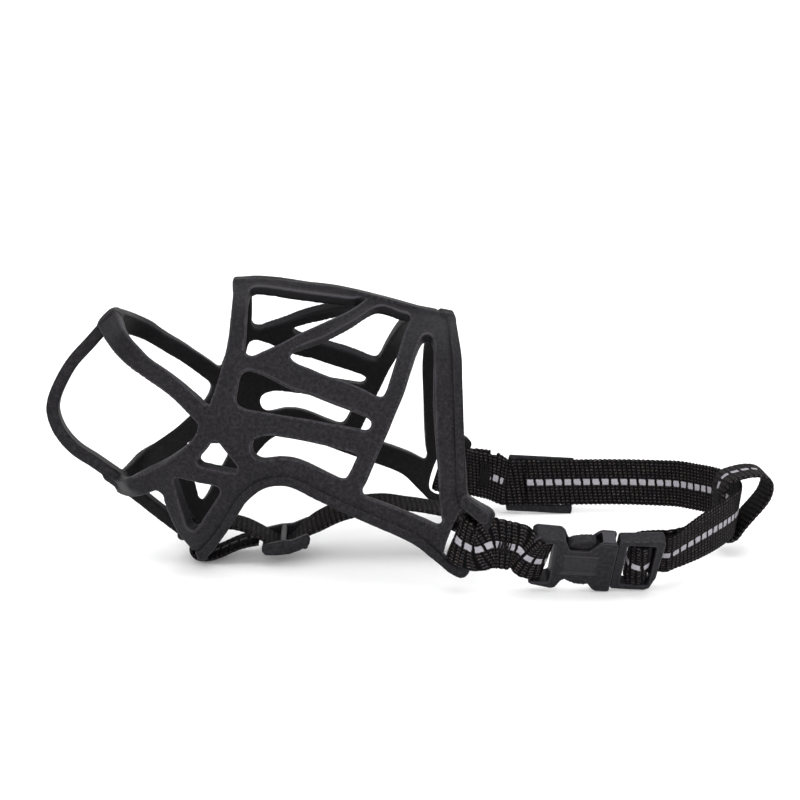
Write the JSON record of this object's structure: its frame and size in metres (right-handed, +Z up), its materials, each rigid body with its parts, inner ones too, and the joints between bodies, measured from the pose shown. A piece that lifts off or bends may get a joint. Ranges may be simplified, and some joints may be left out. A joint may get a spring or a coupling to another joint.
{
  "type": "basket muzzle",
  "caption": "Soft rubber basket muzzle for a dog, an open lattice over the snout held by a webbing neck strap with side-release buckle and slider, collar loop and chin strap.",
  "frame": {"origin": "middle of the bounding box's footprint on the table, at table height", "axes": "+X from the nose of the basket towards the back of the neck, +Z up, the buckle on the -Y side; the basket's own mirror plane is 1.9 mm to the -Y side of the origin"},
  "size_m": [0.2428, 0.1112, 0.0956],
  "materials": {
    "basket_rubber": "matte",
    "webbing": "woven",
    "buckle_plastic": "satin",
    "thread": "matte"
  },
  "bodies": {
    "basket": {"basket": "basket_rubber"},
    "near_strap": {"near_tab_webbing": "webbing", "near_tab_stitching": "thread", "buckle_socket": "buckle_plastic"},
    "neck_strap": {"buckle_plug": "buckle_plastic", "neck_strap_webbing": "webbing", "neck_strap_stitching": "thread", "collar_loop_webbing": "webbing", "collar_loop_stitching": "thread"},
    "prong_upper": {"buckle_prong_upper": "buckle_plastic"},
    "prong_lower": {"buckle_prong_lower": "buckle_plastic"},
    "far_strap": {"far_loop_webbing": "webbing", "far_loop_stitching": "thread", "neck_slider": "buckle_plastic"},
    "chin_strap": {"chin_strap_webbing": "webbing", "chin_slider": "buckle_plastic", "chin_strap_stitching": "thread", "chin_end_stitching": "thread"}
  },
  "joints": [
    {"name": "near_tab_swing", "type": "hinge", "parent": "basket", "child": "near_strap", "pos_m": [0.01276, -0.00193, 0.02036], "axis": [0, 1, 0], "range_deg": [-3, 3]},
    {"name": "far_loop_swing", "type": "hinge", "parent": "basket", "child": "far_strap", "pos_m": [0.01276, -0.00193, 0.02036], "axis": [0, 1, 0], "range_deg": [-3, 3]},
    {"name": "buckle_release", "type": "slide", "parent": "near_strap", "child": "neck_strap", "axis": [0.9976, 0, -0.0698], "range_m": [0, 0.018]},
    {"name": "prong_upper_squeeze", "type": "hinge", "parent": "neck_strap", "child": "prong_upper", "pos_m": [0.06021, -0.05012, 0.01653], "axis": [-0.0335, -0.8771, -0.4791], "range_deg": [0, 7], "stiffness_Nm_per_rad": 0.05},
    {"name": "prong_lower_squeeze", "type": "hinge", "parent": "neck_strap", "child": "prong_lower", "pos_m": [0.05952, -0.04474, 0.00673], "axis": [0.0335, 0.8771, 0.4791], "range_deg": [0, 7], "stiffness_Nm_per_rad": 0.05},
    {"name": "chin_strap_swing", "type": "hinge", "parent": "basket", "child": "chin_strap", "pos_m": [-0.07054, -0.00193, 0.00436], "axis": [0, -1, 0], "range_deg": [-5, 12]}
  ],
  "couplings": [
    {"joint": "far_loop_swing", "follows": "near_tab_swing", "ratio": 1},
    {"joint": "prong_lower_squeeze", "follows": "prong_upper_squeeze", "ratio": 1}
  ]
}
